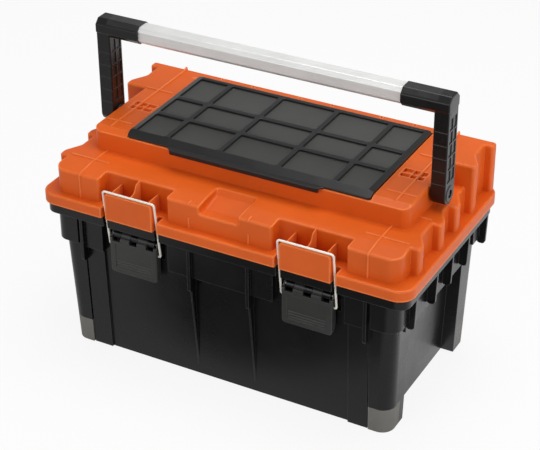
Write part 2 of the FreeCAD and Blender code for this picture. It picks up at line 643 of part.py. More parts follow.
# ---- lid ----
def waves(stations, last_y):
    """Right-hand edge of the lid: (x, y, radius) corners of the pilasters, front to rear."""
    foot, nose, gentle = WAVE_ROUND
    flat, end = WAVE
    corners = []
    for y in stations:
        corners += [(CORE_X, y, foot), (PILASTER_X, y, nose)]
        if y < last_y:
            corners += [(PILASTER_X, y + flat, gentle), (CORE_X, y + end, gentle)]
    return corners


def latch_front(inset):
    """Front edge of the lid's low part, right of the middle, moved in by inset."""
    a, b = LATCH_ZONE
    nose, foot = max(WAVE_ROUND[1] - inset, 0), WAVE_ROUND[0] + 1 + inset
    y0, y1 = CORE_FRONT + inset, -HY + LATCH_ZONE_DEPTH + inset
    return [(a - inset, y0, nose), (a - inset, y1, foot), (b + inset, y1, foot), (b + inset, y0, nose),
            (CORE_X - inset, y0, CORNER_RADIUS - inset)]


def ledge_profile(shift=0.0):
    """Bar as high as the ledge, whose rounded front falls a little towards the front wall."""
    length, fall = LEDGE_SLOPE
    top = LEDGE_HEIGHT - shift
    return soft_bar([(CORE_FRONT + shift, FLANGE_BOTTOM - 1, 0),
                     (CORE_FRONT + shift, top - fall, max(LEDGE_ROUND - shift, 0)),
                     (CORE_FRONT + length, top, 2 * length), (CORE_REAR, top, 0),
                     (CORE_REAR, FLANGE_BOTTOM - 1, 0)], -HX, HX)


def lid_low():
    """Low part of the lid: flange, and walls up to the ledge with the latch zones set back."""
    rear = [(PILASTER_X, CORE_REAR, WAVE_ROUND[1] - 0.3)]
    outline = symmetric(latch_front(0.0) + waves(SIDE_STATIONS, SIDE_STATIONS[-1]) + rear)
    core = round_level(soft_prism(outline, FLANGE_BOTTOM, LEDGE_HEIGHT), LEDGE_ROUND, LEDGE_HEIGHT)
    flange = slab(HX, -HY, HY, FLANGE_BOTTOM, FLANGE_TOP, FLANGE_RADIUS)
    flange = round_level(flange, 2.5, FLANGE_TOP)
    return [core.common(ledge_profile()), flange]


def deck():
    """High part of the lid, narrower beside the handle's arms, with a bevelled front."""
    last = SIDE_STATIONS[-1]
    front = [(DECK_X, DECK_FRONT, DECK_CORNER), (DECK_X, HIGH_STATIONS[0], WAVE_ROUND[0])]
    sides = waves(HIGH_STATIONS, last)[1:]
    rear = [(PILASTER_X, CORE_REAR, WAVE_ROUND[1] - 0.3)]
    block = soft_prism(symmetric(front + sides + rear), LEDGE_HEIGHT - 20, DECK_HEIGHT)
    block = round_level(block, DECK_ROUND, DECK_HEIGHT)
    back, down = BEVEL
    wedge = prism_x([(DECK_FRONT - 5, DECK_HEIGHT - down - 2), (DECK_FRONT, DECK_HEIGHT - down),
                     (DECK_FRONT + back, DECK_HEIGHT), (DECK_FRONT + back, DECK_HEIGHT + 5),
                     (DECK_FRONT - 5, DECK_HEIGHT + 5)], -HX, HX)
    return block.cut(wedge)


def front_rib(x):
    """Thin rib that climbs the lid's front wall and runs back over the ledge."""
    w, h = RIB[0] / 2, RIB[1]
    length, fall = LEDGE_SLOPE
    outline = [(CORE_FRONT - h, FLANGE_TOP - 1, 0),
               (CORE_FRONT - h, LEDGE_HEIGHT - fall + h, LEDGE_ROUND + h),
               (CORE_FRONT + length, LEDGE_HEIGHT + h, 2 * length), (DECK_FRONT + 2, LEDGE_HEIGHT + h, 0),
               (DECK_FRONT + 2, LEDGE_HEIGHT - 2, 0), (CORE_FRONT + length, LEDGE_HEIGHT - 2, 2 * length),
               (CORE_FRONT + 2, LEDGE_HEIGHT - fall - 2, LEDGE_ROUND - 2),
               (CORE_FRONT + 2, FLANGE_TOP - 1, 0)]
    return soft_bar(outline, x - w, x + w)


def lid_ribs():
    """Thin raised ribs that run over the ledge, the deck and the front wall."""
    w, h = RIB[0] / 2, RIB[1]
    deck_top, ledge_top = DECK_HEIGHT + h, LEDGE_HEIGHT + h
    deck_edge = DECK_X - DECK_ROUND
    ledge_edge = CORE_X - LEDGE_ROUND
    ribs = [front_rib(END_RIB_X),
            box(END_RIB_X - w, END_RIB_X + w, DECK_FRONT + BEVEL[0], CORE_REAR - DECK_ROUND,
                DECK_HEIGHT - 2, deck_top),
            front_rib(CENTRE_RIB_X).common(box(0, HX, -HY, CORE_FRONT + CENTRE_RIB_BACK,
                                               0, DECK_HEIGHT)),
            box(COVER_HALF_X + CROSS_RIB_START, deck_edge, SIDE_STATIONS[1] - w, SIDE_STATIONS[1] + w,
                DECK_HEIGHT - 2, deck_top),
            box(COVER_HALF_X + CROSS_RIB_START, deck_edge, HIGH_STATIONS[0] - w, HIGH_STATIONS[0] + w,
                DECK_HEIGHT - 2, deck_top),
            box(DECK_X - 2, ledge_edge, SIDE_STATIONS[1] + CROSS_RIB_BACK - w,
                SIDE_STATIONS[1] + CROSS_RIB_BACK + w, LEDGE_HEIGHT - 2, ledge_top),
            box(COVER_HALF_X + CROSS_RIB_START, ledge_edge, SIDE_STATIONS[0] + CROSS_RIB_BACK - w,
                SIDE_STATIONS[0] + CROSS_RIB_BACK + w, LEDGE_HEIGHT - 2, ledge_top)]
    for x in (CENTRE_RIB_X, END_RIB_X):
        ribs.append(box(x - w, x + w, CORE_REAR - 2, CORE_REAR + h, FLANGE_TOP - 1,
                        DECK_HEIGHT - DECK_ROUND))
    ear = prism_x([(CORE_REAR - 9, DECK_HEIGHT - 3), (CORE_REAR - 9, deck_top),
                   (CORE_REAR - 1, deck_top + 2.5), (CORE_REAR, deck_top - 1),
                   (CORE_REAR, DECK_HEIGHT - 8)], END_RIB_X - w, END_RIB_X + w)
    return both(ribs + [ear])


def under_cover():
    """Solid left inside the lid for the cover's seat, its trough and the compartment."""
    seat_x = COVER_HALF_X + PIN_SEAT
    return [box(-WELL_X - WALL, WELL_X + WALL, WELL_FRONT - WALL, WELL_REAR + WALL,
                WELL_BOTTOM - WALL, DECK_HEIGHT),
            box(-seat_x, seat_x, DECK_FRONT, WELL_REAR, COVER_BOTTOM - REST_GAP - WALL, DECK_HEIGHT),
            box(-seat_x, seat_x, WELL_REAR, TROUGH_REAR + WALL, TROUGH_BOTTOM - WALL, DECK_HEIGHT)]


def lid_hollow():
    """The lid's inside, one wall in from the outside."""
    top = LEDGE_HEIGHT - WALL
    deck_top = DECK_HEIGHT - WALL
    bottom = FLANGE_BOTTOM - 1
    side, rear = CORE_X - WALL, CORE_REAR - WALL
    low = soft_prism(symmetric(latch_front(WALL) + [(side, rear, WALL)]), bottom, top)
    low = low.common(ledge_profile(WALL))
    y = HIGH_STATIONS[0] + WALL
    outline = [(DECK_X - WALL, DECK_FRONT + WALL, DECK_CORNER - WALL), (DECK_X - WALL, y, WALL),
               (side, y, WALL), (side, rear, WALL)]
    high = soft_prism(symmetric(outline), top - 1, deck_top)
    back, down = BEVEL
    under_bevel = prism_x([(DECK_FRONT, deck_top - down - 1), (DECK_FRONT + back + 1, deck_top),
                           (DECK_FRONT + back + 1, deck_top + 1), (DECK_FRONT, deck_top + 1)], -HX, HX)
    hollow = low.fuse(high.cut(under_bevel)).removeSplitter()
    pocket = box(-POCKET_HALF - WALL, POCKET_HALF + WALL, CORE_FRONT - 1,
                 CORE_FRONT + POCKET_LENGTH + WALL, LEDGE_HEIGHT - POCKET_DEPTH - WALL, LEDGE_HEIGHT)
    bosses = both([rod_x(DECK_X - WALL - 4, DECK_X - WALL + 1, PIVOT_Y, PIVOT_Z, 8.0)])
    under_waffle = both([w.makeOffsetShape(WAFFLE_WALL, 0.1, join=2) for w in waffle_cells()])
    return hollow.cut(under_cover() + [pocket] + bosses + under_waffle)


def catch(side):
    """Catch plate that one bail hooks over, with end returns and three curved webs."""
    x = side * LATCH_X
    half = CATCH_WIDTH / 2
    corner, edge = CATCH_ROUND
    outline = [(x - half, FLANGE_BOTTOM, 0), (x + half, FLANGE_BOTTOM, 0), (x + half, CATCH_TOP, corner),
               (x - half, CATCH_TOP, corner)]
    plate = soft_face(outline, lambda a, z: V(a, -HY, z)).extrude(V(0, CATCH_THICK, 0))
    plate = rounded(plate, edge, lambda e: near(e.CenterOfMass.y, -HY)
                    and e.CenterOfMass.z > FLANGE_BOTTOM + 1)
    pieces = [plate]
    for s in (-1, 1):
        x0, x1 = sorted((x + s * (half - 2.5), x + s * (half - 0.3)))
        pieces.append(prism_x([(-HY + 2, FLANGE_BOTTOM), (-HY + CATCH_RETURN, FLANGE_BOTTOM),
                               (-HY + CATCH_RETURN, CATCH_TOP - 14), (-HY + 2, CATCH_TOP - 6)], x0, x1))
    thick, pitch, drop = CATCH_WEB
    curve_foot, curve_top, bend = MIDDLE_WEB
    wall, foot, low = -HY + LATCH_ZONE_DEPTH + 1, -HY + CATCH_THICK / 2, FLANGE_TOP - 1
    level = LEDGE_HEIGHT - drop
    side_web = [(foot, low, 0), (foot, level, 0), (wall, level, 0), (wall, low, 0)]
    middle_web = [(foot, low, 0), (foot, level - 1, 0), (-HY + curve_foot, level, bend),
                  (-HY + curve_top, LEDGE_HEIGHT - 2, bend), (wall, LEDGE_HEIGHT - 1, 0), (wall, low, 0)]
    for k, outline in ((-1, side_web), (0, middle_web), (1, side_web)):
        mid = x + k * pitch
        pieces.append(soft_bar(outline, mid - thick / 2, mid + thick / 2))
    return pieces


def finger_pocket():
    """Cutter for the scooped finger recess in the middle of the ledge, with rounded rims."""
    step, rise = POCKET_STEP
    rim, bottom = POCKET_ROUND
    half = POCKET_HALF
    floor_z = LEDGE_HEIGHT - POCKET_DEPTH
    back = CORE_FRONT + POCKET_LENGTH
    outline = [(CORE_FRONT - 8, floor_z, 0), (CORE_FRONT + POCKET_FLAT, floor_z, POCKET_SWEEP),
               (back - step, LEDGE_HEIGHT - rise, bottom), (back + 2, LEDGE_HEIGHT + 2, 0),
               (CORE_FRONT - 8, LEDGE_HEIGHT + 2, 0)]
    scoop = soft_bar(outline, -half, half)
    scoop = rounded(scoop, bottom, lambda e: near(abs(e.CenterOfMass.x), half)
                    and e.CenterOfMass.z < LEDGE_HEIGHT - rise / 2 and not upright(e))
    above = box(-2 * half, 2 * half, CORE_FRONT - 12, back + 12, LEDGE_HEIGHT, LEDGE_HEIGHT + 5)
    before = box(-2 * half, 2 * half, CORE_FRONT - 12, CORE_FRONT, floor_z - 8, LEDGE_HEIGHT + 5)

    def on_rim(edge):
        middle = edge.CenterOfMass
        inside = abs(middle.x) < half + 0.01 and edge.Length < 2 * half + 1
        return inside and (near(middle.z, LEDGE_HEIGHT) or near(middle.y, CORE_FRONT))
    return rounded(fused([scoop, above, before]), rim, on_rim)


def waffle_cells():
    """Two rows of three square recesses in the deck, right of the cover."""
    cells = []
    for out, width in WAFFLE_COLUMNS:
        for behind, length in WAFFLE_ROWS:
            x0, y0 = COVER_HALF_X + out, SIDE_STATIONS[2] + behind
            cells.append(box(x0, x0 + width, y0, y0 + length, DECK_HEIGHT - WAFFLE_SINK, DECK_HEIGHT + 5))
    return cells


def cover_seat():
    """What is cut from the lid for the cover, its hinge barrel and the compartment."""
    seat_x = COVER_HALF_X + SIDE_GAP
    return [box(-seat_x, seat_x, DECK_FRONT - 5, TROUGH_REAR, COVER_BOTTOM - REST_GAP, DECK_HEIGHT + 5),
            box(-seat_x, seat_x, COVER_AXIS_Y - COVER_BARREL - SIDE_GAP, TROUGH_REAR, TROUGH_BOTTOM,
                DECK_HEIGHT),
            box(-WELL_X, WELL_X, WELL_FRONT, WELL_REAR, WELL_BOTTOM, DECK_HEIGHT + 5)]


def strip_holes():
    """Drain holes through the strip behind the cover."""
    y = (TROUGH_REAR + WALL + CORE_REAR) / 2
    return both([Part.makeCylinder(STRIP_HOLE_RADIUS, 3 * WALL, V(x, y, DECK_HEIGHT - 2 * WALL))
                 for x in STRIP_HOLES])


def lid_bores(side):
    """Notches for one bail's legs, and the holes for pins and the handle's bolt, on one side."""
    x, half = side * HINGE_X, hinge_half()
    cuts = [rod_x(x - half, x + half, HINGE_Y, HINGE_Z, PIN_RADIUS + PIN_GAP)]
    for s in (-1, 1):
        x0, x1 = sorted((side * LATCH_X + s * CATCH_WIDTH / 2, side * LATCH_X + s * NOTCH_WIDTH / 2))
        cuts.append(box(x0, x1, -HY - 1, -HY + NOTCH_DEPTH, FLANGE_BOTTOM - 1, FLANGE_TOP + 1))
    x0, x1 = sorted((side * (DECK_X - WALL - 6), side * (DECK_X + 1)))
    cuts.append(rod_x(x0, x1, PIVOT_Y, PIVOT_Z, BOLT_RADIUS + FIT_GAP))
    x0, x1 = sorted((side * (COVER_HALF_X - 1), side * (COVER_HALF_X + PIN_SEAT)))
    cuts.append(rod_x(x0, x1, COVER_AXIS_Y, COVER_AXIS_Z, COVER_PIN_RADIUS + FIT_GAP))
    return cuts


def lid_knuckle(side):
    """The lid's part of one hinge."""
    mid, half = hinge_spans(side)[0]
    return [rod_x(mid - half, mid + half, HINGE_Y, HINGE_Z, KNUCKLE_RADIUS),
            box(mid - half, mid + half, HINGE_Y - KNUCKLE_RADIUS, HINGE_Y + KNUCKLE_RADIUS,
                HINGE_Z, FLANGE_BOTTOM + 1)]


def make_lid():
    solid = fused(lid_low() + [deck()]).cut(lid_hollow())
    adds = lid_ribs()
    cuts = [finger_pocket()] + both(waffle_cells()) + cover_seat() + strip_holes()
    for side in (-1, 1):
        adds += catch(side) + lid_knuckle(side)
        cuts += lid_bores(side)
    return solid.multiFuse(adds).cut(cuts).removeSplitter()


def cover_panels():
    """Place of each recessed panel, as (x0, x1, y0, y1)."""
    width = sum(COVER_COLUMNS) + COVER_WEB * (len(COVER_COLUMNS) - 1)
    width_scale = 2 * (COVER_HALF_X - SIDE_SLOPE[0]) / width
    y = COVER_FRONT + COVER_SLOPE[0]
    depth = sum(COVER_ROWS) + COVER_WEB * (len(COVER_ROWS) - 1)
    depth_scale = (COVER_REAR - COVER_REAR_BAND - y) / depth
    panels = []
    for row in COVER_ROWS:
        x = -width * width_scale / 2
        for column_width in COVER_COLUMNS:
            panels.append((x, x + column_width * width_scale, y, y + row * depth_scale))
            x += (column_width + COVER_WEB) * width_scale
        y += (row + COVER_WEB) * depth_scale
    return panels


def panel_tool():
    """Cutter for the recessed panels, with the rounded edges of the webs between them."""
    top = COVER_TOP
    pieces = [box(-HX, HX, -HY, HY, top, top + 3)]
    for x0, x1, y0, y1 in cover_panels():
        pieces.append(round_upright(box(x0, x1, y0, y1, top - PANEL_SINK, top + 1), PANEL_CORNER))
    tool = fused(pieces)
    return rounded(tool, WEB_ROUND, lambda e: all(near(v.Point.z, top) for v in e.Vertexes)
                   and e.Length < DEPTH / 2)


def cover_pockets():
    """Hollows in the cover's underside, one behind each panel."""
    d = UNDER_INSET
    return [box(x0 + d, x1 - d, y0 + d, y1 - d, COVER_BOTTOM - 1, COVER_TOP - PANEL_SINK - PANEL_FLOOR)
            for x0, x1, y0, y1 in cover_panels()]


def cover_tab():
    """Lip that hangs over the deck's front wall, for a finger to lift."""
    out = DECK_FRONT - TAB_PROUD
    lip_z = COVER_TOP - COVER_SLOPE[1]
    low = COVER_TOP - TAB_DROP
    tab = soft_bar([(COVER_FRONT + 2, lip_z, 0), (out, lip_z, 1.2), (out, low, 0.8),
                    (out + TAB_THICK, low, 0.8), (out + TAB_THICK, COVER_BOTTOM, 0),
                    (COVER_FRONT + 2, COVER_BOTTOM, 0)], -TAB_HALF, TAB_HALF)
    plan = soft_prism([(TAB_HALF, HY, 0), (TAB_HALF, out + 7, 3), (TAB_HALF - 7, out, 3),
                       (7 - TAB_HALF, out, 3), (-TAB_HALF, out + 7, 3), (-TAB_HALF, HY, 0)], 0, HANDLE_HEIGHT)
    return tab.common(plan)


def make_cover():
    """Compartment cover: recessed panels, sloping front and sides, hinge barrel, finger tab."""
    hx, top, bottom = COVER_HALF_X, COVER_TOP, COVER_BOTTOM
    back, down = COVER_SLOPE
    x_in, x_down = SIDE_SLOPE
    profile = [(COVER_FRONT, bottom, 0), (COVER_FRONT, top - down, 0.8), (COVER_FRONT + back, top, 2),
               (COVER_REAR, top, 3), (COVER_REAR, COVER_AXIS_Z, 0), (COVER_AXIS_Y, bottom, 0)]
    plate = soft_bar(profile, -hx, hx).common(slab(hx, COVER_FRONT, COVER_REAR, bottom, top, COVER_CORNER))
    side_wedge = prism_y([(hx + 1, top - x_down), (hx, top - x_down), (hx - x_in, top),
                          (hx - x_in, top + 1), (hx + 1, top + 1)], COVER_FRONT - 1, COVER_REAR + 1)
    barrel = rod_x(-hx, hx, COVER_AXIS_Y, COVER_AXIS_Z, COVER_BARREL)
    solid = fused([plate.cut(both([side_wedge])), barrel, cover_tab()])
    bores = both([rod_x(hx - COVER_PIN_LENGTH, hx + 1, COVER_AXIS_Y, COVER_AXIS_Z,
                        COVER_PIN_RADIUS + PIN_GAP)])
    return solid.cut([panel_tool()] + cover_pockets() + bores).removeSplitter()


def make_cover_pin(side):
    x0, x1 = sorted((side * (COVER_HALF_X - COVER_PIN_LENGTH), side * (COVER_HALF_X + PIN_SEAT)))
    return rod_x(x0, x1, COVER_AXIS_Y, COVER_AXIS_Z, COVER_PIN_RADIUS)


def make_dividers():
    """Upright plates that part the top compartment, one under each gap between panel columns."""
    room = 2 * (WELL_X - SIDE_GAP)
    pitch = room / (DIVIDERS + 1)
    plates = []
    for i in range(1, DIVIDERS + 1):
        x = -room / 2 + i * pitch
        plates.append(box(x - DIVIDER_THICK / 2, x + DIVIDER_THICK / 2, WELL_FRONT + SIDE_GAP,
                          WELL_REAR - SIDE_GAP, WELL_BOTTOM + REST_GAP, COVER_BOTTOM - 3))
    return Part.makeCompound(plates)


# ---- handle ----
def eight_sided(half_depth, half_height, chamfer):
    """Outline round the handle tube's axis, as (y, z) points."""
    a, b, c = half_depth, half_height, chamfer
    mid_z = HANDLE_HEIGHT - GRIP_HEIGHT / 2
    ring = [(a, -b + c), (a, b - c), (a - c, b), (-a + c, b), (-a, b - c), (-a, -b + c),
            (-a + c, -b), (a - c, -b)]
    return [(PIVOT_Y + y, mid_z + z) for y, z in ring]


def tube_section(grow=0.0):
    return eight_sided(TUBE_DEPTH / 2 + grow, TUBE_HEIGHT / 2 + grow, TUBE_CHAMFER)


def tube_end():
    return ARM_OUT + 0.5 - GRIP_LENGTH + TUBE_INSERT


def screw_hole(radius, y0=PIVOT_Y, y1=PIVOT_Y + ARM_FRONT + GRIP_OVER + 1):
    """Cylinder along the right grip screw's axis."""
    x, z = tube_end() - SCREW_INSET, HANDLE_HEIGHT - GRIP_HEIGHT / 2
    return Part.makeCylinder(radius, y1 - y0, V(x, y0, z), V(0, 1, 0))


def make_tube():
    outer = prism_x(tube_section(), -tube_end(), tube_end())
    outer = rounded(outer, 2.0, lambda e: near(e.Length, 2 * tube_end()))
    inner = prism_x(tube_section(-TUBE_WALL), -tube_end() - 1, tube_end() + 1)
    screw_holes = both([screw_hole(SCREW_RADIUS + FIT_GAP)])
    return outer.cut([inner] + screw_holes)


def arm_cells():
    """Shallow ladder recesses in the outer and inner faces of the right arm."""
    z0, z1 = PIVOT_Z + ARM_FRONT + 3, HANDLE_HEIGHT - GRIP_HEIGHT - 3
    step = (z1 - z0) / ARM_CELL_ROWS
    cells = []
    for i in range(ARM_CELL_ROWS):
        za, zb = z0 + i * step + 1, z0 + (i + 1) * step - 1
        for ya, yb in ((-10.5, -1.0), (1.0, 10.5)):
            cells.append(box(ARM_OUT - ARM_CELL_SINK, ARM_OUT + 1, PIVOT_Y + ya, PIVOT_Y + yb, za, zb))
            cells.append(box(ARM_IN - 1, ARM_IN + ARM_CELL_SINK, PIVOT_Y + ya, PIVOT_Y + yb, za, zb))
        cells.append(box(ARM_IN - 1, ARM_OUT + 1, PIVOT_Y - ARM_FRONT - 1, PIVOT_Y - ARM_FRONT + 0.5,
                         za - 1.4, za - 0.6))
    return cells


def make_arm():
    """Right arm and its grip in one moulding, with a socket for the tube."""
    upright_part = box(ARM_IN, ARM_OUT, PIVOT_Y - ARM_FRONT, PIVOT_Y + ARM_FRONT, PIVOT_Z,
                       HANDLE_HEIGHT - GRIP_CHAMFER - GRIP_OVER)
    upright_part = rounded(upright_part, 1.5, upright)
    foot = rod_x(ARM_IN, ARM_OUT, PIVOT_Y, PIVOT_Z, ARM_FRONT)
    foot = rounded(foot, 1.5, lambda e: near(e.Length, 2 * math.pi * ARM_FRONT))
    end = ARM_OUT + 0.5
    reach = ARM_FRONT + GRIP_OVER
    section = eight_sided(reach, GRIP_HEIGHT / 2, GRIP_CHAMFER)
    grip = prism_x(section, end - GRIP_LENGTH, end)
    grip = rounded(grip, GRIP_ROUND, lambda e: near(e.Length, GRIP_LENGTH))
    grip = rounded(grip, GRIP_ROUND - 0.5, lambda e: near(e.CenterOfMass.x, end))
    solid = fused([upright_part, foot, grip])
    boss = rod_x(ARM_OUT - 1, ARM_OUT + 0.8, PIVOT_Y, PIVOT_Z, BOSS_RADIUS)
    head_r, head_h = BOLT_HEAD
    cuts = arm_cells()
    cuts.append(prism_x(tube_section(FIT_GAP), end - GRIP_LENGTH - 1, tube_end() + 0.5))
    cuts.append(rod_x(ARM_IN - 1, ARM_OUT + 2, PIVOT_Y, PIVOT_Z, BOLT_RADIUS + PIN_GAP))
    cuts.append(rod_x(ARM_OUT - head_h - 1.5, ARM_OUT + 2, PIVOT_Y, PIVOT_Z, head_r + SIDE_GAP))
    back = PIVOT_Y + reach
    cuts.append(screw_hole(SCREW_RADIUS + FIT_GAP))
    cuts.append(screw_hole(SCREW_HEAD[0] + FIT_GAP, back - SCREW_HEAD[1] - FIT_GAP, back + 1))
    return solid.fuse(boss).cut(cuts).removeSplitter()


def make_grip_screw():
    """Screw through the back of the right grip into the tube."""
    radius, height = SCREW_HEAD
    back = PIVOT_Y + ARM_FRONT + GRIP_OVER
    inside = PIVOT_Y + TUBE_DEPTH / 2 - TUBE_WALL - 2
    head = screw_hole(radius, back - height, back)
    return head.fuse(screw_hole(SCREW_RADIUS, inside, back - height))


def make_bolt():
    """Right shoulder bolt, its head sunk in the arm's outer face."""
    head_r, head_h = BOLT_HEAD
    seat = ARM_OUT - head_h - 1.2
    head = rod_x(seat, seat + head_h, PIVOT_Y, PIVOT_Z, head_r)
    shank = rod_x(DECK_X - WALL - 4 - NUT_HEIGHT - 1, seat, PIVOT_Y, PIVOT_Z, BOLT_RADIUS)
    socket = rod_x(seat + head_h - 2.2, seat + head_h + 1, PIVOT_Y, PIVOT_Z, 2.4)
    return head.fuse(shank).cut(socket)


def make_washer():
    """Spacer between the deck's wall and the right arm."""
    x0, x1 = DECK_X + REST_GAP, ARM_IN - REST_GAP
    disc = rod_x(x0, x1, PIVOT_Y, PIVOT_Z, WASHER_RADIUS)
    return disc.cut(rod_x(x0 - 1, x1 + 1, PIVOT_Y, PIVOT_Z, BOLT_RADIUS + FIT_GAP))


def make_nut():
    """Nut inside the lid that holds the right bolt."""
    x1 = DECK_X - WALL - 4
    ring = [(PIVOT_Y + NUT_FLATS / math.sqrt(3) * math.cos(math.radians(60 * i)),
             PIVOT_Z + NUT_FLATS / math.sqrt(3) * math.sin(math.radians(60 * i))) for i in range(6)]
    body = prism_x(ring, x1 - NUT_HEIGHT, x1)
    return body.cut(rod_x(x1 - NUT_HEIGHT - 1, x1 + 1, PIVOT_Y, PIVOT_Z, BOLT_RADIUS + FIT_GAP))


# ---- tray ----
def tray_size():
    half_x = HX - SKIRT_INSET_X - WALL - TRAY_GAP
    half_y = INNER_Y - TRAY_GAP
    z0 = SIDE_LEDGE + REST_GAP
    return half_x, half_y, z0, z0 + TRAY_HEIGHT


def make_tray():
    """Open lift-out tray with a rim and a middle wall that carries the handle."""
    hx, hy, z0, z1 = tray_size()
    step = TRAY_RIM
    outer = slab(hx - step, -hy + step, hy - step, z0 + 4, z1, 14.0)
    feet = both([box(hx - step - 26, hx, -hy + 36, hy - 36, z0, z0 + 7)])
    rim = slab(hx, -hy, hy, z1 - 5, z1, 16.0)
    inner_hx, inner_hy = hx - step - TRAY_WALL, hy - step - TRAY_WALL
    hollow = slab(inner_hx, -inner_hy, inner_hy, z0 + 4 + TRAY_WALL, z1 + 1, 12.0)
    wall = box(-inner_hx - 1, inner_hx + 1, -2.5, 2.5, z0 + 5, z1 - 4)
    slots = both([box(TRAY_DIVIDER_X + s * 2.2 - 1, TRAY_DIVIDER_X + s * 2.2 + 1, y, y + 4, z0 + 5, z1 - 8)
                  for s in (-1, 1) for y in (2.4, inner_hy - 3.9)])
    return fused([outer, rim] + feet).cut(hollow).multiFuse([wall] + slots).removeSplitter()


def make_tray_handle():
    """Arched carry handle that stands on the tray's middle wall."""
    z1 = tray_size()[3]
    half, rise = TRAY_HANDLE_WIDTH / 2, TRAY_HANDLE_RISE
    base = z1 - 4 + REST_GAP
    outline = [(-half, base), (half, base), (half - 12, base + rise), (-half + 12, base + rise)]
    arch = prism_y(outline, -8, 8)
    opening = prism_y([(-half + 20, base + 6), (half - 20, base + 6), (half - 25, base + rise - 9),
                       (-half + 25, base + rise - 9)], -9, 9)
    arch = arch.cut(opening)
    return rounded(arch, 3.0, lambda e: near(e.CenterOfMass.z, base + rise))


def make_tray_divider(side):
    """Removable divider held between two pairs of ribs."""
    hx, hy, z0, z1 = tray_size()
    x = side * TRAY_DIVIDER_X
    y1 = hy - TRAY_RIM - TRAY_WALL - REST_GAP
    z = z0 + 4 + TRAY_WALL + REST_GAP
    return box(x - 0.9, x + 0.9, 2.5 + REST_GAP, y1, z, z1 - 6)


# ---- every node, written to its own file ----
def make_nodes():
    nodes = {"tub": make_tub(), "lid_shell": make_lid(), "compartment_cover": make_cover(),
             "compartment_dividers": make_dividers(), "handle_tube": make_tube(), "tray": make_tray(),
             "tray_handle": make_tray_handle()}
    nodes.update(make_guards())
    right_only = {"handle_arm": make_arm(), "grip_screw": make_grip_screw(), "handle_bolt": make_bolt(),
                  "handle_washer": make_washer(), "handle_nut": make_nut()}
    for name, shape in right_only.items():
        nodes[name + "_right"] = shape
        nodes[name + "_left"] = mirrored(shape)
    handed = {"latch_lever": make_lever, "latch_bail": make_bail, "latch_pin": make_latch_pin,
              "hinge_rod": make_hinge_rod, "cover_pin": make_cover_pin, "tray_divider": make_tray_divider}
    for name, make in handed.items():
        nodes[name + "_left"] = make(-1)
        nodes[name + "_right"] = make(1)
    return nodes


os.makedirs("parts", exist_ok=True)
for node, shape in make_nodes().items():
    shape.exportStep(f"parts/{node}.step")
    print(node, shape.isValid(), len(shape.Solids), round(shape.Volume / 1000, 1))
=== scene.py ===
import json
import math
import bpy
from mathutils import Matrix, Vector


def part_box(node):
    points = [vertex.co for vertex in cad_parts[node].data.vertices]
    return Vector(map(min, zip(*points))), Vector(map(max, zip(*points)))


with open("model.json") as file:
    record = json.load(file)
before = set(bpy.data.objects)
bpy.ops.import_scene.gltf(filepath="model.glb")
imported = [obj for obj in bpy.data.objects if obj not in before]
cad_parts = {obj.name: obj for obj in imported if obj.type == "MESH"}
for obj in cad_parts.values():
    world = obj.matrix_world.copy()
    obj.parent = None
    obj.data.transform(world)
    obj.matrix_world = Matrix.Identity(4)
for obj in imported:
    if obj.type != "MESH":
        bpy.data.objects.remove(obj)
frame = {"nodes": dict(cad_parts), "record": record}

# A moulded toolbox with a lift-out tray, on a white table. Metres, +Z up, the front towards -Y.

# ---- the view ----
CAMERA_AIM = Vector((0.0003, 0.0004, 0.1793))
CAMERA_DISTANCE = 2.222
CAMERA_AZIMUTH = math.radians(28.62)
CAMERA_ELEVATION = math.radians(31.12)
CAMERA_ROLL = math.radians(-0.39)
CAMERA_LENS = 111.15
CAMERA_SENSOR = 36.0

# ---- colour cards: sRGB, as a maker's swatch gives them ----
ORANGE = (0.855, 0.365, 0.085)
# The paler edge colours below paint edge wear together with the highlight that rounded edges catch.
ORANGE_WORN_LIT_EDGE = (0.97, 0.53, 0.27)
BLACK = (0.048, 0.048, 0.050)
BLACK_WORN_LIT_EDGE = (0.27, 0.27, 0.27)
COVER_BLACK = (0.072, 0.074, 0.076)
COVER_PANEL = (0.245, 0.245, 0.236)
LEVER_GREY = (0.205, 0.205, 0.200)
LEVER_WORN_LIT_EDGE = (0.33, 0.33, 0.32)
GUARD_GREY = (0.44, 0.43, 0.41)
GUARD_WORN_LIT_EDGE = (0.60, 0.59, 0.57)
TRAY_BLACK = (0.115, 0.115, 0.12)
ALUMINIUM = (0.93, 0.93, 0.925)
ZINC = (0.97, 0.95, 0.90)
PLAIN_STEEL = (0.66, 0.66, 0.65)

# ---- moulded skin, wear, painted edge highlights and drawn metal; pattern scales are per metre ----
MID_TONES = (0.3, 0.7)      # most of a noise pattern lies between these values
PATCH_SCALE = 9.0           # slow drift of a moulding's shade and gloss
SINK_SCALE = 26.0           # faint sink marks
SINK_DEPTH = 0.00035
BREAK_SCALE = 60.0          # gaps in the paler edges of wear and painted highlight
WIPE_SCALE = 17.0
HAIRLINES = ((0.5, (260.0, 9.0, 60.0)), (-1.1, (11.0, 300.0, 70.0)))    # turn, and scales across and along
STREAK_SCALE = 9.0          # along a drawn piece
TARNISH_SCALE = 30.0
EDGE_SAMPLES = 8            # rays that find and soften a moulded edge
METAL_SAMPLES = 6
ROUND_WEAR_AND_HIGHLIGHT = {"Width": 0.0024, "Onset": 0.985, "Full": 0.86, "Break_Up": 0.35}   # reaches wide roundings too, painting wear and highlight on them
COVER_ROUGH = (0.30, 0.60)  # the cover's frame, and its panels

# ---- the cover's panels, from its own top and edges ----
PANEL_SINK = 0.0037         # panel floors, below the webs' tops
PANEL_BAND = 0.0005         # heights that count as a panel's floor
FIELD_HALF = 0.168          # panels' outer edges, either side of the middle
FIELD_FRONT = 0.0190        # first row, behind the cover's front edge
FIELD_REAR = 0.0098         # last row, in front of the cover's rear edge

